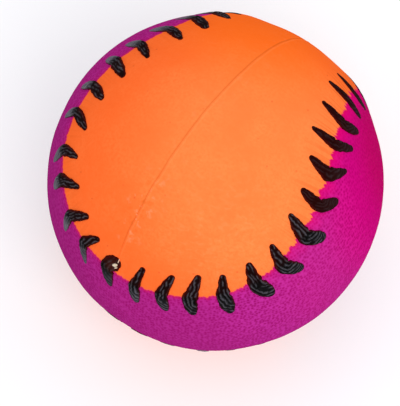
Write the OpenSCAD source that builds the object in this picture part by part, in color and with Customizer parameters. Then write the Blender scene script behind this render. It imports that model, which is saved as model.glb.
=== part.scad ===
// Rubber dog ball made like a baseball: two moulded half shells, two interlocking colour panels and a raised
// seam of V-shaped stitches.
// The origin is the ball's centre. +Z points up through the middle of an orange lobe and +Y through the neck of
// the orange panel, so the magenta lobes face +X and -X and the magenta neck faces -Y.

/* [Ball] */
// Outer diameter over the colour panels
ball_d = 63.5; // [45:0.5:90]
// Wall of each moulded half shell
shell_wall = 5; // [2:0.5:12]
// Thickness of the colour panels that cover the shells
panel_t = 1; // [0.4:0.1:2]

/* [Seam] */
// How much the panels' lobes swell beyond a plain wave, as a share of that wave
lobe_swell = 0.57; // [0.45:0.01:0.65]
// Width of each panel at its neck, measured over the surface
neck_width = 27.2; // [20:0.2:34]

/* [Stitches] */
// Number of stitches round the whole seam
stitch_count = 62; // [40:2:76]
// How far a stitch stands above the panels at its bend
bend_height = 0.7; // [0.4:0.05:1]
// How far a stitch stands above the panels at its two tips
tip_height = 0.4; // [0.2:0.05:0.7]
// Distance of the bend from the seam, on the magenta side
bend_offset = 1.2; // [0:0.1:2]
// Lean of each arm away from square across the seam
arm_lean = 18; // [5:1:35]
// Length of the arm that crosses onto the orange panel, from the bend to its end
orange_arm = 4.9; // [3.5:0.1:6]
// Length of the arm that stays on the magenta panel, from the bend to its end
magenta_arm = 3.9; // [3:0.1:5]
// Width of a stitch at its bend
bend_width = 2.8; // [2:0.1:3.5]
// Width near the pointed end on the orange panel
orange_tip_width = 1.2; // [0.9:0.1:2]
// Width near the blunt end on the magenta panel
magenta_tip_width = 1.8; // [0.9:0.1:2.6]

/* [Hidden] */
// Facets round a turn where a curve is shown as a mesh: the ball's surface under the thin stitches needs more
$fn = 72;
ball_facets = 480;

ball_r = ball_d / 2;
shell_r = ball_r - panel_t;
cavity_r = shell_r - shell_wall;

// The seam is a closed curve on the ball. The neck's half angle sets how far the wave swings along Y.
neck_half_angle = neck_width / ball_d * 180 / PI;
seam_swing = (1 - lobe_swell) / tan(neck_half_angle);
// Straight pieces that stand for the seam where the panels are cut: a multiple of 4, so that it stays symmetrical
seam_pieces = 144;
// The seam cone ends well outside the ball, so that its flat lid clears the ball everywhere
cone_reach = 2 * ball_r;
// Fine steps for measuring along the seam
measure_steps = 720;

function unit(v) = v / norm(v);
function seam_direction(u) = unit([
    cos(u) - lobe_swell * cos(3 * u),
    seam_swing * cos(2 * u),
    sin(u) + lobe_swell * sin(3 * u)
]);

// Distance along the seam paired with the angle that reaches it
seam_steps = [for (i = [0 : measure_steps]) ball_r * seam_direction(360 * i / measure_steps)];
seam_table = [
    for (i = 0, s = 0; i <= measure_steps; s = s + norm(seam_steps[min(i + 1, measure_steps)] - seam_steps[i]), i = i + 1)
        [s, 360 * i / measure_steps]
];
seam_length = seam_table[measure_steps][0];
function seam_angle(distance) = lookup(distance, seam_table);

// Stitches stand one pitch apart, from the middle of the orange neck
stitch_pitch = seam_length / stitch_count;
row_1_end = ceil(stitch_count / 4);
row_2_end = stitch_count / 2;
row_3_end = row_2_end + row_1_end;

// A thread that shows a given width and height above the ball is a round one sunk into the surface
function thread_r(width, height) = (width * width / 4 + height * height) / (2 * height);
bend_r = thread_r(bend_width, bend_height);
orange_tip_r = thread_r(orange_tip_width, tip_height);
magenta_tip_r = thread_r(magenta_tip_width, tip_height);
// The orange arm starts a little thinner, so that it grows out of the magenta arm
orange_root_share = 0.92;

// Frame of a stitch: X along the seam the way its arms lean, Y over the orange panel, Z out of the ball
function stitch_frame(u, step = 0.5) =
    let (
        out = seam_direction(u),
        over = unit(cross(out, seam_direction(u - step) - seam_direction(u + step))),
        along = cross(over, out)
    )
    [for (i = [0 : 2]) [along[i], over[i], out[i]]];

// A point at this depth under the ball's surface, in a stitch's frame
function under_surface(x, y, depth) = (ball_r - depth) * unit([x, y, ball_r]);

// The solid angle that the orange panel fills: a cone from the ball's centre through the seam, closed by a lid of
// straight bars between the mirrored points of the seam
module orange_cone() {
    half = seam_pieces / 2;
    quarter = seam_pieces / 4;
    function at(i) = 1 + (i + seam_pieces) % seam_pieces;
    seam_points = [for (i = [0 : seam_pieces - 1]) cone_reach * seam_direction(360 * i / seam_pieces)];
    sides = [for (i = [0 : seam_pieces - 1]) [0, at(i), at(i + 1)]];
    end_lids = [
        [at(quarter), at(quarter - 1), at(quarter + 1)],
        [at(-quarter), at(-quarter - 1), at(-quarter + 1)]
    ];
    bars = [
        for (i = [1 - quarter : quarter - 2])
            [at(i), at(half - i), at(half - i - 1), at(i + 1)]
    ];
    polyhedron(concat([[0, 0, 0]], seam_points), concat(sides, end_lids, bars));
}

// A colour panel where the orange one lies
module panel() {
    intersection() {
        difference() {
            sphere(ball_r);
            sphere(shell_r);
        }
        orange_cone();
    }
}

// A round thread that tapers from one radius to another between two points
module thread(from, to, from_r, to_r) {
    run = to - from;
    length = norm(run);
    taper = asin((from_r - to_r) / length);
    translate(from)
        rotate([0, acos(run.z / length), atan2(run.y, run.x)])
            rotate_extrude()
                intersection() {
                    union() {
                        circle(from_r);
                        translate([0, length])
                            circle(to_r);
                        polygon([
                            [0, from_r * sin(taper)],
                            [from_r * cos(taper), from_r * sin(taper)],
                            [to_r * cos(taper), length + to_r * sin(taper)],
                            [0, length + to_r * sin(taper)]
                        ]);
                    }
                    translate([0, -from_r])
                        square([max(from_r, to_r), from_r + length + to_r]);
                }
}

// One stitch in its own frame: two arms that meet in a bend behind its place on the seam
module stitch() {
    orange_run = orange_arm - orange_tip_width / 2;
    magenta_run = magenta_arm - magenta_tip_width / 2;
    bend_x = -(orange_run + magenta_run) * sin(arm_lean) / 4;
    bend = under_surface(bend_x, -bend_offset, bend_r - bend_height);
    orange_tip = under_surface(
        bend_x + orange_run * sin(arm_lean),
        orange_run * cos(arm_lean) - bend_offset,
        orange_tip_r - tip_height
    );
    magenta_tip = under_surface(
        bend_x + magenta_run * sin(arm_lean),
        -magenta_run * cos(arm_lean) - bend_offset,
        magenta_tip_r - tip_height
    );
    thread(bend, magenta_tip, bend_r, magenta_tip_r);
    thread(bend, orange_tip, orange_root_share * bend_r, orange_tip_r);
}

// The stitches with these numbers, seated on the panels
module stitch_row(first, last) {
    difference() {
        for (i = [first : last])
            multmatrix(stitch_frame(seam_angle(i * stitch_pitch)))
                stitch();
        sphere(ball_r, $fn = ball_facets);
    }
}

// One half of the hollow moulded ball, on the side of the parting plane that side gives
module half_shell(side) {
    difference() {
        sphere(shell_r);
        sphere(cavity_r);
        translate([-side * ball_r, 0, 0])
            cube(2 * ball_r, center = true);
    }
}

module half_shell_left() {
    color("blanchedalmond")
        half_shell(-1);
}

module half_shell_right() {
    color("wheat")
        half_shell(1);
}

module orange_panel() {
    color("#FF7A30")
        panel();
}

// Both panels have one shape: the seam falls on itself when the ball is turned over about this axis
module magenta_panel() {
    color("#C0107E")
        rotate(180, [1, 0, 1])
            panel();
}

module stitch_row_top_right() {
    color("#1B1618")
        stitch_row(0, row_1_end - 1);
}

module stitch_row_top_left() {
    color("#1B1618")
        stitch_row(row_1_end, row_2_end - 1);
}

module stitch_row_bottom_left() {
    color("#1B1618")
        stitch_row(row_2_end, row_3_end - 1);
}

module stitch_row_bottom_right() {
    color("#1B1618")
        stitch_row(row_3_end, stitch_count - 1);
}

half_shell_left();
half_shell_right();
orange_panel();
magenta_panel();
stitch_row_top_right();
stitch_row_top_left();
stitch_row_bottom_left();
stitch_row_bottom_right();
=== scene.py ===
import bisect
import functools
import math
import random

import bmesh
import bpy
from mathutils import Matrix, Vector, kdtree, noise


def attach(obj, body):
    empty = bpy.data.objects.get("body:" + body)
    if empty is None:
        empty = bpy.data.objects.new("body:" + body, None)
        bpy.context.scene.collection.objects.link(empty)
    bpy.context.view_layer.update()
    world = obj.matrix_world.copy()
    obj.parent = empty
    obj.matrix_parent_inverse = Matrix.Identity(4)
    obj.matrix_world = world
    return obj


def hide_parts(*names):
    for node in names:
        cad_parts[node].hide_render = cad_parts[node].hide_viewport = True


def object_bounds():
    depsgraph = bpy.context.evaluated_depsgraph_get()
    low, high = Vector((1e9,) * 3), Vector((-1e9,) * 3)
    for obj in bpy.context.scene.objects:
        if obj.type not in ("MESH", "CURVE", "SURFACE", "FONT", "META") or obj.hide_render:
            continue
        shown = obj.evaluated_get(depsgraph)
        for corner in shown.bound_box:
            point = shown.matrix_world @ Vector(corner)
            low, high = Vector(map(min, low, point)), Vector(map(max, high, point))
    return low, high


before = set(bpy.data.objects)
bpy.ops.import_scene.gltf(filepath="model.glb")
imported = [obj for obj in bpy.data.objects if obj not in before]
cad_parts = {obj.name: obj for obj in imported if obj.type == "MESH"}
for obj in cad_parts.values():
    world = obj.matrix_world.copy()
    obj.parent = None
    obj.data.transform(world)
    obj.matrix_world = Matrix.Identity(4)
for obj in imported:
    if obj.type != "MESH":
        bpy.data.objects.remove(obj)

cad_low, cad_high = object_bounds()

# Sizes that the CAD model has too
MM = 0.001
BALL_R = 31.75 * MM
PANEL_T = 1.0 * MM
LOBE_SWELL = 0.57
NECK_WIDTH = 27.2 * MM
SEAM_SWING = (1 - LOBE_SWELL) / math.tan(NECK_WIDTH / (2 * BALL_R))
STITCH_COUNT = 62
STITCH_ROWS = {
    "stitch_row_top_right": range(0, 16),
    "stitch_row_top_left": range(16, 31),
    "stitch_row_bottom_left": range(31, 47),
    "stitch_row_bottom_right": range(47, 62),
}

# Camera: the photo's viewing angle, ten ball radii away, with the ball a little right of and above the middle
PHOTO_WIDTH = 400
PHOTO_HEIGHT = 406
VIEW_AZIMUTH = math.radians(35)
VIEW_ELEVATION = math.radians(65)
VIEW_DISTANCE = 10 * BALL_R
SENSOR_WIDTH = 36
LENS = 148.6
BALL_RIGHT_PX = 15.15
BALL_UP_PX = 20.73


# The seam and what is measured from it

# Points round the seam, and the small angle of the turn from which its direction is taken
SEAM_STEPS = 7200
SEAM_NUDGE = 0.002


def seam_direction(turn):
    """Unit direction from the ball's centre to the seam, for one angle of the turn round it."""
    across = math.cos(turn) - LOBE_SWELL * math.cos(3 * turn)
    swing = SEAM_SWING * math.cos(2 * turn)
    up = math.sin(turn) + LOBE_SWELL * math.sin(3 * turn)
    return Vector((across, swing, up)).normalized()


seam_points = [seam_direction(math.tau * step / SEAM_STEPS) for step in range(SEAM_STEPS + 1)]
seam_lengths = [0.0]
for before, after in zip(seam_points, seam_points[1:]):
    seam_lengths.append(seam_lengths[-1] + (after - before).length * BALL_R)
SEAM_LENGTH = seam_lengths[-1]
STITCH_PITCH = SEAM_LENGTH / STITCH_COUNT
SEAM_RING_R = SEAM_LENGTH / math.tau

seam_finder = kdtree.KDTree(SEAM_STEPS)
for step in range(SEAM_STEPS):
    seam_finder.insert(seam_points[step] * BALL_R, step)
seam_finder.balance()


def seam_turn(length):
    """Angle of the turn at a distance along the seam; a negative distance runs the other way."""
    if length < 0:
        return -seam_turn(-length)
    step = min(max(bisect.bisect_left(seam_lengths, length), 1), SEAM_STEPS)
    start = seam_lengths[step - 1]
    share = (length - start) / (seam_lengths[step] - start)
    return math.tau * (step - 1 + share) / SEAM_STEPS


def seam_frame(length):
    """Directions at a distance along the seam: out of the ball, over to the orange side and along it."""
    turn = seam_turn(length % SEAM_LENGTH)
    out = seam_direction(turn)
    backward = seam_direction(turn - SEAM_NUDGE) - seam_direction(turn + SEAM_NUDGE)
    over = out.cross(backward).normalized()
    along = over.cross(out)
    return out, over, along


def smooth_share(value, low, high):
    """0 at low, 1 at high and a smooth rise between them."""
    share = min(max((value - low) / (high - low), 0.0), 1.0)
    return share * share * (3 - 2 * share)


def between_keys(keys, share, eased):
    """Value at a share of the way through evenly spaced keys, eased or straight from each key to the next."""
    place = min(max(share, 0.0), 1.0) * (len(keys) - 1)
    first = min(int(place), len(keys) - 2)
    step = place - first
    if eased:
        step = smooth_share(step, 0.0, 1.0)
    return keys[first] + (keys[first + 1] - keys[first]) * step


# The moulded skin: what stands off the true sphere on both panels

# Waves, dimples and grain of the skin: size across and height. Each panel has its own height of grain.
WAVE_SIZE = 13 * MM
WAVE_HEIGHT = 0.16 * MM
DIMPLE_SIZE = 5 * MM
DIMPLE_HEIGHT = 0.04 * MM
DIMPLE_SHIFT = Vector((7, 3, 1))
GRAIN_SIZE = 1.5 * MM
GRAIN_FROM_SEAM = (0.2 * MM, 1.5 * MM)
ORANGE_GRAIN_HEIGHT = 0.008 * MM
MAGENTA_GRAIN_HEIGHT = 0.016 * MM
# Low swells of the skin beside the seam, read from the photo's outline: direction, reach and height
SKIN_SWELLS = (
    (Vector((0.426, 0.847, 0.320)), 9.0 * MM, 0.50 * MM),
    (Vector((-0.359, 0.784, 0.506)), 6.5 * MM, 0.40 * MM),
)
# Parting line of the mould: a groove with a bead beside it, both of one width, deeper in some places
PARTING_NORMAL = Vector((0.9989, -0.0415, 0.0220)).normalized()
LINE_WIDTH = 0.22 * MM
LINE_WANDER = 0.20 * MM
LINE_WANDER_SIZE = 4 * MM
LINE_STRENGTH = 0.75
LINE_UNEVEN = 0.5
LINE_UNEVEN_SIZE = 6 * MM
LINE_UNEVEN_SHIFT = Vector((0, 9, 4))
GROOVE_DEPTH = 0.08 * MM
BEAD_HEIGHT = 0.05 * MM
BEAD_ASIDE = 1.9 * LINE_WIDTH
# Scuffed skin near the lower end of the parting line
SCUFF_PLACE = Vector((-0.050, -0.650, 0.755)).normalized() * BALL_R
SCUFF_REACH = (0.96 * MM, 3.2 * MM)
SCUFF_SIZE = 0.9 * MM
SCUFF_HEIGHT = 0.16 * MM
SCUFF_SHIFT = Vector((2, 5, 8))
# Puckers beside the seam: distances from it over which they rise and fall away, their slant and their patches
PUCKER_WAVE = 1.3 * MM
PUCKER_HEIGHT = 0.030 * MM
PUCKER_RISE = (0.8 * MM, 2.5 * MM)
PUCKER_FALL = (3.0 * MM, 7.0 * MM)
PUCKER_SLANT = 0.3
PUCKER_PATCH_SIZE = 9 * MM
PUCKER_PATCH_NOISE = (-0.1, 0.5)
PUCKER_PATCH_SHIFT = Vector((1, 1, 6))


def skin_swell(place):
    """How far the low swells lift the skin, and any stitch on it, at one place, in metres."""
    lift = 0.0
    for direction, reach, height in SKIN_SWELLS:
        away = (place - direction.normalized() * BALL_R).length
        lift += height * (1 - smooth_share(away, 0.0, reach))
    return lift


def parting_distance(place):
    """Distance of a place on the ball from the mould's parting line, which wanders a little."""
    wander = noise.noise(place / LINE_WANDER_SIZE) * LINE_WANDER
    return place.dot(PARTING_NORMAL) + wander


def parting_relief(place):
    """The parting line's groove and bead at one place, in metres."""
    line = parting_distance(place)
    strength = LINE_STRENGTH + LINE_UNEVEN * noise.noise(place / LINE_UNEVEN_SIZE + LINE_UNEVEN_SHIFT)
    groove = GROOVE_DEPTH * math.exp(-((line / LINE_WIDTH) ** 2))
    bead = BEAD_HEIGHT * math.exp(-(((line - BEAD_ASIDE) / LINE_WIDTH) ** 2))
    return strength * (bead - groove)


def scuff_relief(place):
    """Crumbs of skin that stand up where it is scuffed, in metres."""
    scuff = 1 - smooth_share((place - SCUFF_PLACE).length, *SCUFF_REACH)
    if scuff <= 0:
        return 0.0
    return SCUFF_HEIGHT * scuff * max(0.0, noise.noise(place / SCUFF_SIZE + SCUFF_SHIFT))


def pucker_relief(place, from_seam, along):
    """Fine puckers where the stitches pull at the skin, in metres."""
    near = smooth_share(from_seam, *PUCKER_RISE) * (1 - smooth_share(from_seam, *PUCKER_FALL))
    if near <= 0:
        return 0.0
    patch = smooth_share(noise.noise(place / PUCKER_PATCH_SIZE + PUCKER_PATCH_SHIFT), *PUCKER_PATCH_NOISE)
    phase = math.tau * (along + PUCKER_SLANT * from_seam) / PUCKER_WAVE
    return PUCKER_HEIGHT * near * patch * math.sin(phase)


def skin_relief(place, from_seam, along, grain_height):
    """How far the skin stands off the true sphere at one place, in metres."""
    relief = skin_swell(place)
    relief += noise.noise(place / WAVE_SIZE) * WAVE_HEIGHT
    relief += noise.noise(place / DIMPLE_SIZE + DIMPLE_SHIFT) * DIMPLE_HEIGHT
    relief += noise.noise(place / GRAIN_SIZE) * grain_height * smooth_share(from_seam, *GRAIN_FROM_SEAM)
    relief += parting_relief(place)
    relief += scuff_relief(place)
    relief += pucker_relief(place, from_seam, along)
    return relief


# Colour panels: a grid wrapped over the ball between the two sides of the seam

# How far the orange coat laps over the seam, in millimetres, at some stitches. Read from the photo.
COAT_LAP = ((0, 0.0), (4, -0.4), (9, -0.3), (11, 0.0), (13, 0.5), (15, 0.9), (17, 0.9), (19, 0.3), (21, 0.2),
            (23, 0.2), (25, -0.4), (27, -0.3), (30, 0.0), (40, 0.4), (50, -0.3), (62, 0.0))
PANEL_ROWS = 540
PANEL_COLUMNS = 164
INNER_COLUMNS = 8
# Columns crowd by this share towards the parting line and the seam, where the skin has most detail
COLUMN_CROWDING = 0.62
NARROWEST_ROW = 1e-6
MERGE_REACH = 0.0005 * MM


def coat_lap(length):
    """How far the orange coat laps over the seam, in metres, at a distance along it."""
    place = length / STITCH_PITCH
    for (start, low), (end, high) in zip(COAT_LAP, COAT_LAP[1:]):
        if place <= end:
            return (low + (high - low) * smooth_share(place, start, end)) * MM
    return 0.0


@functools.lru_cache(maxsize=None)
def panel_row(row_share):
    """One row of the orange panel: its middle direction, half width and where the parting line crosses it."""
    edge = seam_direction(seam_turn(row_share * SEAM_LENGTH / 4))
    half_width = math.asin(max(edge.x, 0.0))
    spine = Vector((0, edge.y, edge.z)).normalized()
    line = 0.0
    if half_width > NARROWEST_ROW:
        crossing = math.atan(-PARTING_NORMAL.dot(spine) / PARTING_NORMAL.x)
        line = half_width * math.tanh(crossing / half_width)
    return spine, half_width, line


def panel_direction(row_share, column_share):
    """Direction of one point of the orange panel, from its shares along and across the panel."""
    spine, half_width, line = panel_row(row_share)
    crowded = column_share - COLUMN_CROWDING * math.sin(math.tau * column_share) / math.tau
    if crowded > 0:
        lift = line + (half_width - line) * crowded
    else:
        lift = line + (half_width + line) * crowded
    return Vector((math.sin(lift), 0, 0)) + spine * math.cos(lift)


def wrapped_grid(model, columns, swapped, place_on_ball):
    """Adds one grid wrapped over a panel, and sets each point by the function given."""
    grid = bmesh.ops.create_grid(model, x_segments=PANEL_ROWS, y_segments=columns, size=1)
    for vert in grid["verts"]:
        direction = panel_direction(vert.co.x, vert.co.y)
        if swapped:
            direction = Vector((direction.z, -direction.y, direction.x))
        place_on_ball(vert, direction)


def smooth_faces(model):
    """Turns all faces outwards and shades them smooth."""
    bmesh.ops.recalc_face_normals(model, faces=model.faces)
    for face in model.faces:
        face.smooth = True


def finish_piece(name, model, material, nodes=()):
    """Turns a model into an object that rides on the ball, in the finish and for the CAD nodes named."""
    mesh = bpy.data.meshes.new(name)
    model.to_mesh(mesh)
    model.free()
    mesh.materials.append(material)
    piece = bpy.data.objects.new(name, mesh)
    bpy.context.scene.collection.objects.link(piece)
    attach(piece, "root")
    if nodes:
        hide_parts(*nodes)


def colour_panel(name, swapped, grain_height, material, node):
    """One colour panel: the moulded outer skin, a plain inner wall and a rim along the seam between them. The
    skin keeps its distances from seam and parting line, and its place along the seam, for the finish."""
    model = bmesh.new()
    seam_layer = model.verts.layers.float.new("seam_mm")
    ring_layer = model.verts.layers.float_vector.new("seam_ring_mm")
    line_layer = model.verts.layers.float.new("parting_mm")
    side = -1 if swapped else 1

    def outer(vert, direction):
        place = direction * BALL_R
        _, step, reach = seam_finder.find(place)
        along = seam_lengths[step]
        vert[seam_layer] = (side * reach + coat_lap(along)) / MM
        vert[line_layer] = parting_distance(place) / MM
        turn = along / SEAM_RING_R
        vert[ring_layer] = Vector((math.cos(turn), math.sin(turn), 0)) * SEAM_RING_R / MM
        vert.co = direction * (BALL_R + skin_relief(place, reach, along, grain_height))

    def inner(vert, direction):
        vert.co = direction * (BALL_R - PANEL_T)

    wrapped_grid(model, PANEL_COLUMNS, swapped, outer)
    wrapped_grid(model, INNER_COLUMNS, swapped, inner)
    bmesh.ops.remove_doubles(model, verts=model.verts, dist=MERGE_REACH)
    rim = [edge for edge in model.edges if edge.is_boundary]
    bmesh.ops.bridge_loops(model, edges=rim)
    smooth_faces(model)
    for edge in rim:
        edge.smooth = False
    finish_piece(name, model, material, [node])


# Stitches: each a bent pod of moulded thread that lies across the seam

# Places in millimetres from the seam, x along it and y over it to the orange side: orange tip, bend and
# magenta tip, then five widths from the magenta tip over the bend to the orange tip. Read from the photo.
SEEN_STITCHES = {
    2: ((1.7, 4.2), (0.5, -0.5), (2.0, -4.6), (1.2, 1.8, 2.0, 1.6, 0.9)),
    3: ((-0.7, 4.7), (0.1, 0.0), (1.4, -4.5), (1.7, 2.2, 2.1, 1.7, 0.9)),
    4: ((-0.2, 5.3), (0.4, 0.2), (0.8, -4.4), (1.4, 2.2, 2.3, 1.8, 1.0)),
    5: ((0.0, 5.15), (-0.6, -0.7), (1.6, -4.9), (1.2, 2.3, 2.4, 1.9, 1.0)),
    6: ((0.1, 5.8), (-0.2, 0.0), (1.8, -4.7), (1.1, 1.8, 2.4, 1.8, 0.9)),
    7: ((1.1, 4.7), (-0.2, -0.2), (2.2, -4.5), (0.9, 1.9, 2.9, 2.0, 1.0)),
    8: ((0.9, 4.3), (-0.3, -0.5), (2.0, -4.5), (1.4, 2.3, 2.5, 2.0, 1.1)),
    9: ((1.4, 4.5), (-0.5, -0.7), (1.4, -5.1), (1.8, 2.7, 3.0, 2.2, 0.9)),
    10: ((0.2, 4.0), (-1.0, -1.2), (1.1, -5.0), (1.5, 2.6, 3.1, 1.9, 1.0)),
    11: ((0.0, 4.0), (-0.8, -0.8), (0.6, -5.4), (1.8, 3.1, 3.2, 2.0, 1.1)),
    12: ((0.0, 3.7), (-1.0, -0.6), (-1.0, -5.8), (1.4, 2.9, 2.8, 1.7, 1.1)),
    13: ((0.9, 4.3), (-1.2, -1.2), (-1.1, -5.4), (1.2, 2.4, 3.0, 2.0, 1.1)),
    14: ((1.4, 3.9), (-0.5, -1.1), (0.4, -5.2), (1.2, 2.2, 2.5, 1.8, 1.1)),
    15: ((1.1, 3.7), (0.2, -1.5), (1.05, -5.7), (1.1, 2.1, 2.4, 1.5, 1.1)),
    16: ((1.8, 2.4), (0.1, -1.1), (1.8, -5.4), (1.1, 2.2, 3.0, 3.3, 2.2)),
    17: ((1.8, 3.0), (-0.3, -1.4), (1.9, -5.6), (0.9, 1.7, 2.4, 1.8, 1.0)),
    18: ((2.6, 4.1), (0.0, -1.2), (1.0, -5.7), (1.0, 2.0, 2.5, 1.9, 1.1)),
    19: ((1.9, 4.6), (-1.0, -1.3), (-0.8, -5.5), (1.1, 2.2, 2.9, 1.9, 0.9)),
    20: ((1.2, 4.9), (-0.5, -0.4), (1.0, -5.5), (1.0, 2.1, 2.4, 1.8, 0.8)),
    21: ((0.6, 5.8), (-2.0, -0.1), (-0.9, -5.3), (1.0, 1.8, 2.0, 2.2, 1.0)),
    22: ((-0.9, 5.9), (-1.9, -0.1), (-0.7, -5.3), (1.0, 1.9, 2.0, 2.2, 1.1)),
    23: ((-1.2, 6.1), (-2.1, -0.4), (-1.5, -5.3), (1.1, 2.0, 2.6, 2.2, 1.1)),
    24: ((-0.9, 6.1), (-1.8, 0.4), (-0.4, -4.9), (1.2, 2.1, 2.2, 1.7, 0.8)),
    25: ((-1.6, 6.3), (-2.2, 0.8), (-0.4, -4.6), (1.2, 2.2, 2.1, 2.0, 0.9)),
    26: ((-0.2, 6.6), (-2.6, 0.2), (-1.6, -4.8), (1.2, 2.0, 2.3, 2.4, 1.4)),
    27: ((-0.1, 5.6), (-3.0, -0.4), (-2.2, -5.0), (1.1, 1.8, 2.2, 2.4, 1.4)),
    49: ((0.1, 4.4), (-0.9, -0.5), (0.1, -6.3), (1.8, 2.4, 2.7, 2.0, 1.1)),
}
# The stitches that the photo hides: the usual shape, and how far its places and widths vary
USUAL_STITCH = ((0.7, 4.4), (-0.7, -0.5), (1.0, -5.0), (1.5, 2.3, 2.7, 2.0, 1.1))
PLACE_SPREAD = 0.35
WIDTH_SPREAD = 0.15
STITCH_SEED = 62
# Share of the full height that the lower stitches have
LOW_STITCHES = {0: 0.4, 1: 0.3, 2: 0.15, 3: 0.5, 4: 0.7, 27: 0.8, 28: 0.25, 29: 0.4, 30: 0.4,
                45: 0.5, 46: 0.5, 47: 0.42, 48: 0.40, 49: 0.62, 50: 0.45, 51: 0.5}

# Form of a stitch, in millimetres and shares; heights from the magenta tip over the bend to the orange tip
LINE_STEPS = 80
STEPS_BACK = 5
STEPS_AHEAD = 4
PLACES_AROUND = 44
PLACES_ALONG = 72
TOP_SHARE = 0.78
BEND_PULL = 3.2
TIP_ROUND = 0.55
SIDE_ROUND = 0.85
CROWN_ROUND = 0.8
POD_HEIGHTS = (0.08, 0.36, 0.64, 0.46, 0.16)
POD_SINK = 0.35 * MM
NOTCH_DEPTH = 0.26
NOTCH_REACH = 0.55
CREASE_DEPTH = 0.22
CREASE_WIDTH = 0.30
CREASE_DOWN = 0.3
CREASE_SLANT = 0.5
# Unevenness of the sides, of the height and of the lie of the strands: its share, its size across and, for
# the last two, its layer of the noise. Each stitch starts at its own place in the noise.
NOISE_STARTS = (0, 50)
SIDE_LAYERS = 2
RAGGED_SIDES = ((0.10, 0.8), (0.06, 0.35))
LUMPS = (0.16, 0.7, 3)
SLOW_STRAY = (0.55, 1.4, 0)
QUICK_STRAY = (0.22, 0.5, 6)
GLINT_LAYER = 1
# Strands: the range of their spacing and of their winding, and how they lie on each arm
STRAND_GAPS = (0.54, 0.80)
STRAND_WINDINGS = (0.7, 1.5)
STRAND_DEPTH = 0.46
STRAND_ROUND = 0.8
STRAND_LEAN = 0.16
STRAND_CURL = 0.10
STRAND_GATHER = 0.13
LEAST_GATHER = 0.4

# Painted highlights and sheen: share of the painted grey highlight on the strands and of the painted grey
# sheen on the magenta arms, where it isn't the usual one
DARK_STITCHES = range(0, 9)
STRAND_GLINT = {**dict.fromkeys(DARK_STITCHES, 0.07), 16: 0.15}
USUAL_STRAND_GLINT = 0.44
ARM_SHEEN = {14: 0.10, 15: 0.22, 16: 0.20, 17: 0.50, **dict.fromkeys(range(18, 28), 0.85),
             28: 0.60, 29: 0.35, 30: 0.15, 48: 0.30, 49: 1.0, 50: 0.30}
USUAL_ARM_SHEEN = 0.03
# The painted highlight keeps to the tops of the strands and comes in pieces; rim distances are shares of the
# crown
GLINT_SHARPNESS = 8
GLINT_PIECES = 0.85
GLINT_PIECE_NOISE = (-0.40, 0.15)
GLINT_FROM_RIM = (0.30, 0.85)
ARM_UNEVEN = 0.9
ARM_PIECES = 0.9
ARM_FROM_BEND = (-0.6, 2.8)
ARM_FROM_RIM = (0.2, 0.7)
ARM_GROOVE_SHEEN = 0.40
# The black coat thins towards the rim, and farther in on the orange arm
THIN_FROM_RIM = (0.25, 0.85)
ORANGE_ARM_FROM_BEND = (0.0, 1.2)
ORANGE_ARM_RIM = 0.22
ORANGE_ARM_THIN = 0.12
DARK_STITCH_THIN = 0.3


def stitch_shape(number, rng):
    """Tips, bend and widths of one stitch. The draws are made for every stitch, seen or hidden."""
    varied = []
    for x, y in USUAL_STITCH[:3]:
        varied_x = x + rng.uniform(-PLACE_SPREAD, PLACE_SPREAD)
        varied_y = y + rng.uniform(-PLACE_SPREAD, PLACE_SPREAD)
        varied.append((varied_x, varied_y))
    widths = tuple(width + rng.uniform(-WIDTH_SPREAD, WIDTH_SPREAD) for width in USUAL_STITCH[3])
    return SEEN_STITCHES.get(number, (*varied, widths))


def pod_line(shape):
    """Points along a stitch's middle line and their distances from the magenta tip, in millimetres."""
    orange_tip, bend, magenta_tip = (Vector(point) for point in shape[:3])
    corner = (bend * (1 + BEND_PULL) - (orange_tip + magenta_tip) / 2) / BEND_PULL
    points = []
    distances = [0.0]
    for step in range(LINE_STEPS + 1):
        share = step / LINE_STEPS
        weights = ((1 - share) ** 2, 2 * BEND_PULL * share * (1 - share), share ** 2)
        total = magenta_tip * weights[0] + corner * weights[1] + orange_tip * weights[2]
        points.append(total / sum(weights))
        if step:
            distances.append(distances[-1] + (points[-1] - points[-2]).length)
    return points, distances


def bend_side(shape):
    """1 where a stitch bends to the right, followed from its magenta tip, and -1 where it bends left."""
    orange_tip, bend, magenta_tip = (Vector(point) for point in shape[:3])
    before = bend - magenta_tip
    after = orange_tip - bend
    return 1 if before.x * after.y - before.y * after.x < 0 else -1


def line_place(points, distances, distance):
    """Point at a distance along a stitch's middle line, and the direction to the right of the line there."""
    step = min(max(bisect.bisect_left(distances, distance), 1), LINE_STEPS)
    start = distances[step - 1]
    share = (distance - start) / (distances[step] - start)
    point = points[step - 1].lerp(points[step], share)
    ahead = points[min(step + STEPS_AHEAD, LINE_STEPS)] - points[max(step - STEPS_BACK, 0)]
    return point, Vector((ahead.y, -ahead.x)).normalized()


def round_end(to_tip, width):
    """How much of its width a stitch has at a distance from a round tip."""
    left = 1 - min(to_tip / (TIP_ROUND * width), 1.0)
    return math.sqrt(max(1 - left * left, 0.0))


def pod_angle(point):
    """Angle round a stitch: half a turn over its top, which gets most points, and half under its foot."""
    around = (math.atan2(point.y, point.x) % math.tau) / math.tau
    if around < TOP_SHARE:
        return math.pi * around / TOP_SHARE
    return math.pi * (1 + (around - TOP_SHARE) / (1 - TOP_SHARE))


def uneven(unevenness, flat, shift):
    """Unevenness at one point of a stitch, from its share, its size across and its layer of the noise."""
    share, size, layer = unevenness
    return share * noise.noise(Vector((flat.x, flat.y, layer)) / size + shift)


def strand_place(aside, from_bend, winding):
    """Place across the strands, in millimetres. They lie along the orange arm and wind more and more round
    the magenta one."""
    if from_bend > 0:
        return aside + STRAND_LEAN * from_bend
    down = -from_bend
    gathered = aside * max(1 - STRAND_GATHER * down, LEAST_GATHER)
    return gathered - winding * (STRAND_LEAN * down + STRAND_CURL * down * down)


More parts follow.
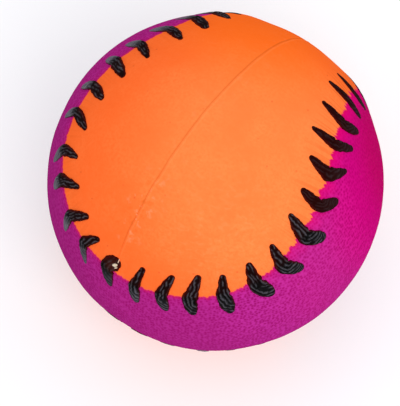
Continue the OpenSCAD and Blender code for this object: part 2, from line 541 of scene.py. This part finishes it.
def strand_ridge(flat, aside, from_bend, gap, winding, shift):
    """1 on top of a strand and 0 in the groove between two, at one point of a stitch."""
    strand = strand_place(aside, from_bend, winding) / gap
    strand += uneven(SLOW_STRAY, flat, shift)
    strand += uneven(QUICK_STRAY, flat, shift)
    return abs(math.sin(math.pi * strand))


def pod_fullness(ridge, flat, aside, from_bend, shift):
    """Share of its height that a point of a stitch has: less between strands and in the bend's crease."""
    groove = 1 - ridge ** STRAND_ROUND
    crease = math.exp(-(((from_bend + CREASE_DOWN - CREASE_SLANT * aside) / CREASE_WIDTH) ** 2))
    return 1 - STRAND_DEPTH * groove - CREASE_DEPTH * crease + uneven(LUMPS, flat, shift)


def painted_glint_share(number, ridge, from_rim, down, spot):
    """Share of painted grey at one point of a stitch, standing in for the gloss of the black coat: painted
    highlights in pieces along the strands and, on some stitches, a painted sheen over the whole magenta arm."""
    pieces = smooth_share(noise.noise(spot / GLINT_PIECES), *GLINT_PIECE_NOISE)
    glint_on_strands = STRAND_GLINT.get(number, USUAL_STRAND_GLINT) * ridge ** GLINT_SHARPNESS * pieces
    glint_on_strands *= smooth_share(from_rim, *GLINT_FROM_RIM)
    sheen_on_arm = ARM_SHEEN.get(number, USUAL_ARM_SHEEN) * (ARM_GROOVE_SHEEN + (1 - ARM_GROOVE_SHEEN) * ridge)
    sheen_on_arm *= smooth_share(down + ARM_UNEVEN * noise.noise(spot / ARM_PIECES), *ARM_FROM_BEND)
    sheen_on_arm *= smooth_share(from_rim, *ARM_FROM_RIM)
    return glint_on_strands + sheen_on_arm


def thin_share(number, from_rim, on_orange):
    """How far the black coat is thin at one point of a stitch."""
    least = DARK_STITCH_THIN if number in DARK_STITCHES else ORANGE_ARM_THIN * on_orange
    return max(1 - smooth_share(from_rim, *THIN_FROM_RIM), least)


def stitch_pod(number, rng):
    """One stitch: a sphere drawn out along a bent line, with twisted strands on top and its foot sunk. Each
    point keeps its share of painted grey highlight and sheen, and how thin its black coat is."""
    shape = stitch_shape(number, rng)
    widths = shape[3]
    shift = Vector((rng.uniform(*NOISE_STARTS), rng.uniform(*NOISE_STARTS), rng.uniform(*NOISE_STARTS)))
    strand_gap = rng.uniform(*STRAND_GAPS)
    winding = rng.uniform(*STRAND_WINDINGS)
    points, distances = pod_line(shape)
    length = distances[-1]
    bend_distance = distances[LINE_STEPS // 2]
    inner_side = bend_side(shape)
    tallness = LOW_STITCHES.get(number, 1.0) * MM
    out, over, along = seam_frame(number * STITCH_PITCH)

    model = bmesh.new()
    glint_layer = model.verts.layers.float.new("painted_glint")
    thin_layer = model.verts.layers.float.new("thin_coat")
    bmesh.ops.create_uvsphere(model, u_segments=PLACES_AROUND, v_segments=PLACES_ALONG, radius=1)
    for vert in model.verts:
        distance = (1 + vert.co.z) / 2 * length
        from_bend = distance - bend_distance
        if from_bend < 0:
            share = 0.5 * distance / bend_distance
        else:
            share = 0.5 + 0.5 * from_bend / (length - bend_distance)
        middle, sideways = line_place(points, distances, distance)
        cap = min(round_end(distance, widths[0]), round_end(length - distance, widths[-1]))

        angle = pod_angle(vert.co)
        reach = math.copysign(abs(math.cos(angle)) ** SIDE_ROUND, math.cos(angle))
        spot = Vector((middle.x, middle.y, SIDE_LAYERS * reach)) + shift
        ragged = 1 + sum(depth * noise.noise(spot / size) for depth, size in RAGGED_SIDES)
        notch = NOTCH_DEPTH * math.exp(-((from_bend / NOTCH_REACH) ** 2)) * max(reach * inner_side, 0.0)
        aside = reach * between_keys(widths, share, True) / 2 * cap * ragged * (1 - notch)
        flat = middle + sideways * aside

        if angle < math.pi:
            ridge = strand_ridge(flat, aside, from_bend, strand_gap, winding, shift)
            crown = cap ** CROWN_ROUND * max(math.sin(angle), 0.0) ** CROWN_ROUND
            on_orange = smooth_share(from_bend, *ORANGE_ARM_FROM_BEND)
            from_rim = crown - ORANGE_ARM_RIM * on_orange
            glint_spot = Vector((flat.x, flat.y, GLINT_LAYER)) + shift
            # Painted grey highlight and sheen, standing in for the gloss of the black coat
            vert[glint_layer] = painted_glint_share(number, ridge, from_rim, -from_bend, glint_spot)
            vert[thin_layer] = thin_share(number, from_rim, on_orange)
            height = between_keys(POD_HEIGHTS, share, False) * tallness * crown
            height *= pod_fullness(ridge, flat, aside, from_bend, shift)
        else:
            vert[thin_layer] = 1.0
            height = POD_SINK * math.sin(angle)
        direction = (out * BALL_R + along * flat.x * MM + over * flat.y * MM).normalized()
        vert.co = direction * (BALL_R + skin_swell(direction * BALL_R) + height)
    bmesh.ops.remove_doubles(model, verts=model.verts, dist=MERGE_REACH)
    smooth_faces(model)
    return model


def stitch_row(name, numbers, material, rng):
    """One quarter of the seam's stitches as a single piece."""
    row = bmesh.new()
    for number in numbers:
        pod = stitch_pod(number, rng)
        pod_mesh = bpy.data.meshes.new("pod")
        pod.to_mesh(pod_mesh)
        pod.free()
        row.from_mesh(pod_mesh)
        bpy.data.meshes.remove(pod_mesh)
    finish_piece(name + "_thread", row, material, [name])


# Gate nib: a crumb of bare rubber on one stitch, where the mould was filled

NIB_STITCH = 16
# Each lump's place along and over the seam, half sizes, turn and height, in millimetres and degrees
NIB_LUMPS = (
    (1.42, 1.06, 0.60, 0.30, 44, 0.42),
    (1.70, 0.55, 0.34, 0.15, 44, 0.30),
    (1.74, 2.34, 0.07, 0.50, 3, 0.32),
)
LUMP_PLACES_AROUND = 24
LUMP_PLACES_ALONG = 14
NIB_THICKNESS = 0.20 * MM
CRUMB_DEPTH = 0.22
CRUMBS_ACROSS = 1.7
CRUMB_SHIFT = 3


def stitch_spot(number, flat, height=0.0):
    """Place near a stitch, from distances along and over the seam in millimetres and a height in metres."""
    out, over, along = seam_frame(number * STITCH_PITCH)
    direction = (out * BALL_R + along * flat[0] * MM + over * flat[1] * MM).normalized()
    return direction * (BALL_R + height)


GATE_PLACE = stitch_spot(NIB_STITCH, (1.25, 0.50))


def gate_nib(material):
    """The nib: a few rounded crumbs pressed into the top of their stitch."""
    model = bmesh.new()
    for x, y, half_x, half_y, turn, lift in NIB_LUMPS:
        lump = bmesh.ops.create_uvsphere(model, u_segments=LUMP_PLACES_AROUND, v_segments=LUMP_PLACES_ALONG,
                                         radius=1)
        cos_turn = math.cos(math.radians(turn))
        sin_turn = math.sin(math.radians(turn))
        for vert in lump["verts"]:
            crumb = noise.noise(vert.co * CRUMBS_ACROSS + Vector((x, y, 0)) * CRUMB_SHIFT)
            crumbly = 1 + CRUMB_DEPTH * crumb
            aside = vert.co.x * half_x * crumbly
            ahead = vert.co.y * half_y * crumbly
            flat = (x + aside * cos_turn - ahead * sin_turn, y + aside * sin_turn + ahead * cos_turn)
            vert.co = stitch_spot(NIB_STITCH, flat, lift * MM + NIB_THICKNESS * vert.co.z * crumbly)
    smooth_faces(model)
    finish_piece("gate_nib", model, material)


# Finishes

def linear(hex_colour):
    """Linear colour of an sRGB hex value."""
    channels = []
    for place in (0, 2, 4):
        value = int(hex_colour[place:place + 2], 16) / 255
        if value <= 0.04045:
            channels.append(value / 12.92)
        else:
            channels.append(((value + 0.055) / 1.055) ** 2.4)
    return (*channels, 1.0)


def per_metre(size_mm):
    """Texture scale at which one cell of a pattern has a size in millimetres."""
    return 1 / (size_mm * MM)


def add_node(tree, kind, settings, links=None):
    """Adds one node with its settings, by property or input name or by input number, and links its inputs."""
    node = tree.nodes.new(kind)
    for key, value in settings.items():
        if isinstance(key, str) and hasattr(node, key):
            setattr(node, key, value)
        else:
            node.inputs[key].default_value = value
    for key, source in (links or {}).items():
        tree.links.new(source, node.inputs[key])
    return node


def new_finish(name):
    """A fresh material with its tree, its shader and the piece's own coordinates."""
    finish = bpy.data.materials.new(name)
    finish.use_nodes = True
    tree = finish.node_tree
    shader = tree.nodes["Principled BSDF"]
    place = add_node(tree, "ShaderNodeTexCoord", {}).outputs["Object"]
    return finish, tree, shader, place


def share_by_distance(tree, place, spot, distances, shares, easing="LINEAR"):
    """Share that changes with the distance from a spot: from one share at the first distance to another at
    the second."""
    away = add_node(tree, "ShaderNodeVectorMath", {"operation": "DISTANCE", 1: spot},
                    {0: place}).outputs["Value"]
    settings = {"interpolation_type": easing, "From Min": distances[0], "From Max": distances[1],
                "To Min": shares[0], "To Max": shares[1]}
    return add_node(tree, "ShaderNodeMapRange", settings, {"Value": away}).outputs["Result"]


def painted_over(tree, below, colour, *shares):
    """Lays a colour over what is below it, by the product of some shares."""
    share = shares[0]
    for other in shares[1:]:
        share = add_node(tree, "ShaderNodeMath", {"operation": "MULTIPLY"},
                         {0: share, 1: other}).outputs["Value"]
    settings = {"data_type": "RGBA", 7: linear(colour)}
    return add_node(tree, "ShaderNodeMix", settings, {0: share, 6: below}).outputs[2]


# Sizes of the coloured rubber's patterns, in millimetres
TOOTH_MM = 0.8
TOOTH_REACH_MM = 0.6
CLOUD_MM = 7
PORE_MM = 0.5
PEBBLE_MM = 0.55
PLEAT_MM = 0.5
WRINKLE_MM = 0.8
SCUFF_MARK_MM = 1.5
PIN_HOLE_GAP_MM = 3.6
PEBBLE_DEPTH = 0.06 * MM

# Where painted light makes the orange palest and painted shade makes it most vivid, where painted light makes
# the magenta reddest, and where the orange is most wrinkled
PAINTED_LIGHT_PLACE = Vector((0.446, -0.062, 0.894)).normalized() * BALL_R
PAINTED_SHADE_PLACE = Vector((-0.120, 0.660, 0.740)).normalized() * BALL_R
LIT_RED_PLACE = Vector((0.74, 0.60, 0.307)).normalized() * BALL_R
WRINKLE_PLACE = Vector((0.390, -0.515, 0.763)).normalized() * BALL_R
WRINKLE_SQUEEZE = (0.55, 0.75, 1.3)
# Dark and light shade of the orange's clouds, and of its paler lit copy for the painted light
DEEP_ORANGE = (linear("FC6A2C"), linear("FF7234"))
LIT_ORANGE = (linear("FD7C3E"), linear("FF8646"))
# Dark and light shade of the magenta's grain in each step of its painted light and shade, from red and
# lighter round the lit place to purple and darker far from it, and the distances in millimetres from that
# place over which they come in
MAGENTA_GRAIN_AND_PAINTED_LIGHT = (
    ("AD0057", "BD0463", 0, 0),
    ("B5006A", "C70579", 5, 15),
    ("AC0064", "CE1084", 14, 18),
    ("A30E6A", "BF288D", 17, 28),
    ("940A62", "B82A92", 28, 40),
    ("950E66", "AD2685", 40, 47),
    ("911268", "A5247D", 54, 61),
)
# Painted shade in the parting line's groove and a painted highlight on its bead beside it: distance from its
# middle in millimetres, colour and strength
PARTING_SHADE_AND_HIGHLIGHT = ((0.0, "A04C0E", 0.34), (-0.46, "FFA468", 0.12))
# Painted shade and highlight of the orange's wrinkles, and its scuffs: noise values at which each mark begins
# and is full, and its colour
WRINKLE_SHADE_AND_HIGHLIGHT = ((0.48, 0.34, "C0541A"), (0.54, 0.68, "FFB07C"))
WRINKLE_STRENGTH = 0.085
SCUFF_MARKS = ((0.58, 0.70, "FFB08A"), (0.44, 0.34, "D8601E"))
SCUFF_STRENGTH = 0.50


def ragged_lap(tree, place):
    """Distance in millimetres from the line where the two coats meet, above 0 on the orange. Its small teeth
    are longest near the place where painted light makes the magenta reddest."""
    seam = add_node(tree, "ShaderNodeAttribute", {"attribute_name": "seam_mm"}).outputs["Fac"]
    ring = add_node(tree, "ShaderNodeAttribute", {"attribute_name": "seam_ring_mm"}).outputs["Vector"]
    teeth = add_node(tree, "ShaderNodeTexNoise", {"Scale": 1 / TOOTH_MM, "Detail": 2.0, "Roughness": 0.6},
                     {"Vector": ring}).outputs["Fac"]
    tooth = add_node(tree, "ShaderNodeMapRange",
                     {"From Min": 0.3, "From Max": 0.7, "To Min": -TOOTH_REACH_MM, "To Max": TOOTH_REACH_MM},
                     {"Value": teeth}).outputs["Result"]
    tooth_size = share_by_distance(tree, place, LIT_RED_PLACE, (22 * MM, 46 * MM), (1.15, 0.35))
    return add_node(tree, "ShaderNodeMath", {"operation": "MULTIPLY_ADD"},
                    {0: tooth, 1: tooth_size, 2: seam}).outputs["Value"]


def orange_coat(tree, place, cloud):
    """Orange in faint clouds with fine pores, with painted light that makes it palest round one place and
    painted shade that makes it most vivid round another.
    """
    cloud_share = add_node(tree, "ShaderNodeMapRange", {"From Min": 0.35, "From Max": 0.65},
                           {"Value": cloud}).outputs["Result"]
    pores = add_node(tree, "ShaderNodeTexNoise", {"Scale": per_metre(PORE_MM), "Detail": 2.0},
                     {"Vector": place}).outputs["Fac"]
    pore_share = add_node(tree, "ShaderNodeMapRange", {"From Min": 0.3, "From Max": 0.6},
                          {"Value": pores}).outputs["Result"]
    light_share = add_node(tree, "ShaderNodeMath", {"operation": "MULTIPLY"},
                           {0: cloud_share, 1: pore_share}).outputs["Value"]
    deep = add_node(tree, "ShaderNodeMix", {"data_type": "RGBA", 6: DEEP_ORANGE[0], 7: DEEP_ORANGE[1]},
                    {0: light_share}).outputs[2]
    lit_orange = add_node(tree, "ShaderNodeMix", {"data_type": "RGBA", 6: LIT_ORANGE[0], 7: LIT_ORANGE[1]},
                    {0: light_share}).outputs[2]
    # Painted light: the orange turns to its paler lit copy round one place
    painted_light_share = share_by_distance(tree, place, PAINTED_LIGHT_PLACE, (12.8 * MM, 32 * MM), (1.0, 0.0), "SMOOTHSTEP")
    orange_in_painted_light = add_node(tree, "ShaderNodeMix", {"data_type": "RGBA"},
                     {0: painted_light_share, 6: deep, 7: lit_orange}).outputs[2]
    # Painted shade: a deeper, more vivid orange round another place
    painted_shade_share = share_by_distance(tree, place, PAINTED_SHADE_PLACE, (4 * MM, 24 * MM), (0.6, 0.0), "SMOOTHSTEP")
    return painted_over(tree, orange_in_painted_light, "FF6C0C", painted_shade_share)


def magenta_coat(tree, place, pebbles, lap):
    """Magenta with a dark and a light shade in its pebble grain and with painted light and shade: red and
    lighter round one place, more purple and darker farther away. Brighter beside the orange and red under the
    thin edge of the orange coat."""
    magenta = None
    for dark, light, near, far in MAGENTA_GRAIN_AND_PAINTED_LIGHT:
        shade = add_node(tree, "ShaderNodeMix", {"data_type": "RGBA", 6: linear(dark), 7: linear(light)},
                         {0: pebbles}).outputs[2]
        if magenta is None:
            magenta = shade
            continue
        # Painted light and shade: each darker, more purple step comes in farther from the lit place
        share = share_by_distance(tree, place, LIT_RED_PLACE, (near * MM, far * MM), (0.0, 1.0), "SMOOTHSTEP")
        magenta = add_node(tree, "ShaderNodeMix", {"data_type": "RGBA"},
                           {0: share, 6: magenta, 7: shade}).outputs[2]
    fringe = add_node(tree, "ShaderNodeMapRange",
                      {"From Min": -3.5, "From Max": -0.3, "To Min": 0.0, "To Max": 0.8},
                      {"Value": lap}).outputs["Result"]
    fringe_run = share_by_distance(tree, place, LIT_RED_PLACE, (16 * MM, 40 * MM), (1.0, 0.12))
    fringed = painted_over(tree, magenta, "DE0070", fringe, fringe_run)
    edge = add_node(tree, "ShaderNodeMapRange",
                    {"From Min": -0.9, "From Max": -0.1, "To Min": 0.0, "To Max": 0.65},
                    {"Value": lap}).outputs["Result"]
    return painted_over(tree, fringed, "D20C4E", edge)


def parting_shade_and_highlight(tree, place, colour, parting, on_orange):
    """The parting line: a fine painted shade in its groove and a painted highlight on its bead beside it,
    faint near the gate nib.
    """
    run = share_by_distance(tree, place, GATE_PLACE, (2 * MM, 7 * MM), (0.2, 1.0))
    for offset, stripe_colour, strength in PARTING_SHADE_AND_HIGHLIGHT:
        aside = add_node(tree, "ShaderNodeMath", {"operation": "ADD", 1: offset},
                         {0: parting}).outputs["Value"]
        away = add_node(tree, "ShaderNodeMath", {"operation": "ABSOLUTE"}, {0: aside}).outputs["Value"]
        stripe = add_node(tree, "ShaderNodeMapRange",
                          {"From Min": 0.03, "From Max": 0.22, "To Min": strength, "To Max": 0.0},
                          {"Value": away}).outputs["Result"]
        # Painted shade in the groove, then a painted highlight on the bead
        colour = painted_over(tree, colour, stripe_colour, stripe, run, on_orange)
    return colour


def seam_pucker_shade(tree, place, colour, lap, on_orange):
    """Fine dark streaks from the seam into the orange: painted shade in the puckers' creases, where the
    stitches pull at the skin.
    """
    ring = add_node(tree, "ShaderNodeAttribute", {"attribute_name": "seam_ring_mm"}).outputs["Vector"]
    pleats = add_node(tree, "ShaderNodeTexNoise", {"Scale": 1 / PLEAT_MM, "Detail": 1.0},
                      {"Vector": ring}).outputs["Fac"]
    # Painted shade in the creases of the puckers
    streak = add_node(tree, "ShaderNodeMapRange", {"From Min": 0.52, "From Max": 0.40},
                      {"Value": pleats}).outputs["Result"]
    end = add_node(tree, "ShaderNodeMapRange",
                   {"From Min": 2.5, "From Max": 6.5, "To Min": 1.0, "To Max": 0.0},
                   {"Value": lap}).outputs["Result"]
    run = share_by_distance(tree, place, LIT_RED_PLACE, (14 * MM, 36 * MM), (0.42, 0.10))
    return painted_over(tree, colour, "C2521A", streak, end, on_orange, run)


def noise_marks(tree, colour, pattern, marks, strength, *shares):
    """Faint marks in the colours listed, each where a pattern passes its values."""
    for start, full, mark_colour in marks:
        mark = add_node(tree, "ShaderNodeMapRange", {"From Min": start, "From Max": full, "To Max": strength},
                        {"Value": pattern}).outputs["Result"]
        colour = painted_over(tree, colour, mark_colour, mark, *shares)
    return colour


def painted_wrinkle_shading(tree, place, colour, on_orange):
    """Short faint wrinkles of the orange skin, gathered round one place, as painted shade and painted
    highlight. Real ones are finer and show by their relief, which soft light hides, so they are painted, and
    as coarse as they need to show."""
    squeezed = add_node(tree, "ShaderNodeVectorMath", {"operation": "MULTIPLY", 1: WRINKLE_SQUEEZE},
                        {0: place}).outputs["Vector"]
    wrinkles = add_node(tree, "ShaderNodeTexNoise",
                        {"Scale": per_metre(WRINKLE_MM), "Detail": 1.0, "Distortion": 0.5},
                        {"Vector": squeezed}).outputs["Fac"]
    run = share_by_distance(tree, place, WRINKLE_PLACE, (4 * MM, 15 * MM), (1.0, 0.15))
    # Painted shade and painted highlight of the wrinkles
    return noise_marks(tree, colour, wrinkles, WRINKLE_SHADE_AND_HIGHLIGHT, WRINKLE_STRENGTH, run, on_orange)


def skin_scuffs(tree, place, colour, parting, on_orange):
    """Pale and dark scuffs, most of them beside the lower end of the parting line."""
    scuffs = add_node(tree, "ShaderNodeTexNoise",
                      {"Scale": per_metre(SCUFF_MARK_MM), "Detail": 3.0, "Roughness": 0.55},
                      {"Vector": place}).outputs["Fac"]
    run = share_by_distance(tree, place, SCUFF_PLACE, (1.5 * MM, 9 * MM), (1.0, 0.10))
    from_line = add_node(tree, "ShaderNodeMath", {"operation": "ABSOLUTE"}, {0: parting}).outputs["Value"]
    beside = add_node(tree, "ShaderNodeMapRange",
                      {"From Min": 0.6, "From Max": 3.5, "To Min": 1.0, "To Max": 0.15},
                      {"Value": from_line}).outputs["Result"]
    return noise_marks(tree, colour, scuffs, SCUFF_MARKS, SCUFF_STRENGTH, run, beside, on_orange)


def pin_holes(tree, place, colour):
    """A few dark pin-holes left by air in the mould."""
    holes = add_node(tree, "ShaderNodeTexVoronoi", {"Scale": per_metre(PIN_HOLE_GAP_MM), "Randomness": 1.0},
                     {"Vector": place}).outputs["Distance"]
    hole_share = add_node(tree, "ShaderNodeMapRange",
                          {"From Min": 0.03, "From Max": 0.07, "To Min": 0.28, "To Max": 0.0},
                          {"Value": holes}).outputs["Result"]
    return painted_over(tree, colour, "8A2A1C", hole_share)


def coloured_rubber(name, roughness, grain_strength):
    """Moulded coloured rubber, as orange and magenta coats that meet in a line of small teeth: strong matt
    colour with painted light and shade across both coats, fine pebble grain, the mould's parting line drawn
    as painted shade and highlight, painted shade in the seam's puckers, wrinkles drawn as painted shade and
    highlight, scuffs, and a few pin-holes."""
    finish, tree, shader, place = new_finish(name)
    parting = add_node(tree, "ShaderNodeAttribute", {"attribute_name": "parting_mm"}).outputs["Fac"]
    cloud = add_node(tree, "ShaderNodeTexNoise",
                     {"Scale": per_metre(CLOUD_MM), "Detail": 5.0, "Roughness": 0.6},
                     {"Vector": place}).outputs["Fac"]
    pebble = add_node(tree, "ShaderNodeTexVoronoi", {"Scale": per_metre(PEBBLE_MM), "Randomness": 0.65},
                      {"Vector": place}).outputs["Distance"]
    pebbles = add_node(tree, "ShaderNodeMapRange", {"From Min": 0.17, "From Max": 0.71},
                       {"Value": pebble}).outputs["Result"]
    lap = ragged_lap(tree, place)
    on_orange = add_node(tree, "ShaderNodeMapRange", {"From Min": -0.24, "From Max": 0.10},
                         {"Value": lap}).outputs["Result"]

    magenta = magenta_coat(tree, place, pebbles, lap)
    orange = orange_coat(tree, place, cloud)
    colour = add_node(tree, "ShaderNodeMix", {"data_type": "RGBA"},
                      {0: on_orange, 6: magenta, 7: orange}).outputs[2]
    colour = parting_shade_and_highlight(tree, place, colour, parting, on_orange)
    colour = seam_pucker_shade(tree, place, colour, lap, on_orange)
    colour = painted_wrinkle_shading(tree, place, colour, on_orange)
    colour = skin_scuffs(tree, place, colour, parting, on_orange)
    colour = pin_holes(tree, place, colour)
    tree.links.new(colour, shader.inputs["Base Color"])

    bump = add_node(tree, "ShaderNodeBump", {"Strength": grain_strength, "Distance": PEBBLE_DEPTH},
                    {"Height": pebbles}).outputs["Normal"]
    tree.links.new(bump, shader.inputs["Normal"])
    gloss = add_node(tree, "ShaderNodeMapRange",
                     {"From Min": 0.3, "From Max": 0.7,
                      "To Min": roughness - 0.05, "To Max": roughness + 0.06},
                     {"Value": cloud}).outputs["Result"]
    tree.links.new(gloss, shader.inputs["Roughness"])
    shader.inputs["Specular IOR Level"].default_value = 0.0
    shader.inputs["Coat Weight"].default_value = 0.025
    shader.inputs["Coat Roughness"].default_value = 0.5
    return finish


# Patterns of the black thread, in millimetres. Real fibres are finer, but would not show.
DUST_MM = 1.2
FIBRE_MM = 0.45
FIBRE_DEPTH = 0.05 * MM
NIB_STAIN = (0.6 * MM, 2.4 * MM)


def black_thread_rubber():
    """Moulded thread with a satin black coat: near black in the grooves, with painted grey highlights along
    the strands and a painted grey sheen on some magenta arms, dark red at the edges where the coat is thin,
    and brown round the gate nib."""
    finish, tree, shader, place = new_finish("satin_black_moulded_rubber")
    dust = add_node(tree, "ShaderNodeTexNoise", {"Scale": per_metre(DUST_MM), "Detail": 3.0},
                    {"Vector": place}).outputs["Fac"]
    dust_share = add_node(tree, "ShaderNodeMapRange", {"From Min": 0.45, "From Max": 0.75},
                          {"Value": dust}).outputs["Result"]
    colour = add_node(tree, "ShaderNodeMix", {"data_type": "RGBA", 6: linear("030202"), 7: linear("0C0606")},
                      {0: dust_share}).outputs[2]
    stain = share_by_distance(tree, place, GATE_PLACE, NIB_STAIN, (0.65, 0.0))
    colour = painted_over(tree, colour, "4A1C12", stain)
    # Dark red where the coat is thin, then painted grey highlights and sheen standing in for the coat's gloss
    for attribute, mark_colour in (("thin_coat", "400504"), ("painted_glint", "72707A")):
        share = add_node(tree, "ShaderNodeAttribute", {"attribute_name": attribute}).outputs["Fac"]
        colour = painted_over(tree, colour, mark_colour, share)
    tree.links.new(colour, shader.inputs["Base Color"])

    fibre = add_node(tree, "ShaderNodeTexNoise", {"Scale": per_metre(FIBRE_MM), "Detail": 2.0},
                     {"Vector": place}).outputs["Fac"]
    bump = add_node(tree, "ShaderNodeBump", {"Strength": 0.15, "Distance": FIBRE_DEPTH},
                    {"Height": fibre}).outputs["Normal"]
    tree.links.new(bump, shader.inputs["Normal"])
    gloss = add_node(tree, "ShaderNodeMapRange", {"To Min": 0.24, "To Max": 0.42},
                     {"Value": dust}).outputs["Result"]
    tree.links.new(gloss, shader.inputs["Roughness"])
    shader.inputs["Specular IOR Level"].default_value = 0.0
    shader.inputs["Coat Weight"].default_value = 0.045
    shader.inputs["Coat Roughness"].default_value = 0.25
    return finish


# Clouds of the bare rubber, in millimetres
BARE_CLOUD_MM = 1.5
BARE_CLOUD_DEPTH = 0.05 * MM


def bare_rubber():
    """Uncoloured natural rubber, as it comes from the mould: cream, matt and a little cloudy."""
    finish, tree, shader, place = new_finish("bare_natural_rubber")
    cloud = add_node(tree, "ShaderNodeTexNoise", {"Scale": per_metre(BARE_CLOUD_MM), "Detail": 4.0},
                     {"Vector": place}).outputs["Fac"]
    cream = add_node(tree, "ShaderNodeMix", {"data_type": "RGBA", 6: linear("B8A488"), 7: linear("EADCC4")},
                     {0: cloud}).outputs[2]
    tree.links.new(cream, shader.inputs["Base Color"])
    bump = add_node(tree, "ShaderNodeBump", {"Strength": 0.3, "Distance": BARE_CLOUD_DEPTH},
                    {"Height": cloud}).outputs["Normal"]
    tree.links.new(bump, shader.inputs["Normal"])
    shader.inputs["Roughness"].default_value = 0.6
    shader.inputs["IOR"].default_value = 1.52
    return finish


# The ball

orange_finish = coloured_rubber("orange_moulded_rubber", roughness=0.80, grain_strength=0.15)
magenta_finish = coloured_rubber("magenta_moulded_rubber", roughness=0.80, grain_strength=0.45)
thread_finish = black_thread_rubber()
bare_finish = bare_rubber()

colour_panel("orange_panel_skin", False, ORANGE_GRAIN_HEIGHT, orange_finish,
             "orange_panel")
colour_panel("magenta_panel_skin", True, MAGENTA_GRAIN_HEIGHT, magenta_finish,
             "magenta_panel")

stitch_rng = random.Random(STITCH_SEED)
for row_name, row_numbers in STITCH_ROWS.items():
    stitch_row(row_name, row_numbers, thread_finish, stitch_rng)

gate_nib(bare_finish)

for shell in ("half_shell_left", "half_shell_right"):
    shell_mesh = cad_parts[shell].data
    shell_mesh.materials.clear()
    shell_mesh.materials.append(bare_finish)


# Floor, light and camera, in metres and watts

FLOOR_SIZE = 3.0
FLOOR_GLOW = 0.18
AMBIENT = 0.90
SOFT_BOX_DIRECTION = Vector((0.54, -0.36, 0.76)).normalized()
SOFT_BOX_DISTANCE = 0.42
SOFT_BOX_SIZE = 0.22
SOFT_BOX_POWER = 0.60
CAMERA_NEAR = 0.01
CAMERA_FAR = 20


def seen_directly(tree):
    """1 where a camera, glossy or transmission ray looks, and 0 for light that falls on the ball."""
    path = add_node(tree, "ShaderNodeLightPath", {})
    glossy = add_node(tree, "ShaderNodeMath", {"operation": "MAXIMUM"},
                      {0: path.outputs["Is Camera Ray"], 1: path.outputs["Is Glossy Ray"]}).outputs["Value"]
    return add_node(tree, "ShaderNodeMath", {"operation": "MAXIMUM"},
                    {0: glossy, 1: path.outputs["Is Transmission Ray"]}).outputs["Value"]


def white_floor():
    """Plain white paper floor at the ball's lowest point, which shows white and keeps the soft shadow."""
    finish = bpy.data.materials.new("white_paper_floor")
    finish.use_nodes = True
    tree = finish.node_tree
    tree.nodes.clear()
    paper = add_node(tree, "ShaderNodeBsdfDiffuse", {"Color": linear("E9EAEE")}).outputs["BSDF"]
    share = add_node(tree, "ShaderNodeMath", {"operation": "MULTIPLY", 1: FLOOR_GLOW},
                     {0: seen_directly(tree)}).outputs["Value"]
    glow = add_node(tree, "ShaderNodeEmission", {"Color": linear("FFFFFF")},
                    {"Strength": share}).outputs["Emission"]
    both = add_node(tree, "ShaderNodeAddShader", {}, {0: paper, 1: glow}).outputs["Shader"]
    add_node(tree, "ShaderNodeOutputMaterial", {}, {"Surface": both})
    model = bmesh.new()
    bmesh.ops.create_grid(model, x_segments=1, y_segments=1, size=FLOOR_SIZE / 2)
    bmesh.ops.translate(model, verts=model.verts, vec=Vector((0, 0, cad_low.z)))
    mesh = bpy.data.meshes.new("floor")
    model.to_mesh(mesh)
    model.free()
    mesh.materials.append(finish)
    floor = bpy.data.objects.new("floor", mesh)
    bpy.context.scene.collection.objects.link(floor)


def white_surroundings():
    """Even white surroundings that light the ball softly and are seen as white."""
    world = bpy.data.worlds.new("white_surroundings")
    bpy.context.scene.world = world
    world.use_nodes = True
    tree = world.node_tree
    tree.nodes.clear()
    strength = add_node(tree, "ShaderNodeMapRange", {"To Min": AMBIENT, "To Max": 1.0},
                        {"Value": seen_directly(tree)}).outputs["Result"]
    sky = add_node(tree, "ShaderNodeBackground", {"Color": linear("FFFFFF")},
                   {"Strength": strength}).outputs["Background"]
    add_node(tree, "ShaderNodeOutputWorld", {}, {"Surface": sky})


def soft_box():
    """One square soft box that looks at the ball."""
    lamp = bpy.data.lights.new("key_soft_box", "AREA")
    lamp.energy = SOFT_BOX_POWER
    lamp.size = SOFT_BOX_SIZE
    lamp.color = linear("FFFCF8")[:3]
    box = bpy.data.objects.new("key_soft_box", lamp)
    box.location = SOFT_BOX_DIRECTION * SOFT_BOX_DISTANCE
    box.rotation_mode = "QUATERNION"
    box.rotation_quaternion = (-SOFT_BOX_DIRECTION).to_track_quat("-Z", "Y")
    bpy.context.scene.collection.objects.link(box)


def photo_camera():
    """Camera at the photo's viewing angle and framing."""
    camera = bpy.data.cameras.new("photo_camera")
    camera.sensor_width = SENSOR_WIDTH
    camera.lens = LENS
    long_side = max(PHOTO_WIDTH, PHOTO_HEIGHT)
    camera.shift_x = -BALL_RIGHT_PX / long_side
    camera.shift_y = -BALL_UP_PX / long_side
    camera.clip_start = CAMERA_NEAR
    camera.clip_end = CAMERA_FAR
    view = bpy.data.objects.new("photo_camera", camera)
    level = math.cos(VIEW_ELEVATION)
    right = math.sin(VIEW_AZIMUTH) * level
    front = -math.cos(VIEW_AZIMUTH) * level
    back = Vector((right, front, math.sin(VIEW_ELEVATION)))
    view.location = back * VIEW_DISTANCE
    view.rotation_mode = "QUATERNION"
    view.rotation_quaternion = (-back).to_track_quat("-Z", "Y")
    bpy.context.scene.collection.objects.link(view)
    bpy.context.scene.camera = view


white_floor()
white_surroundings()
soft_box()
photo_camera()
bpy.context.scene.view_settings.view_transform = "Standard"
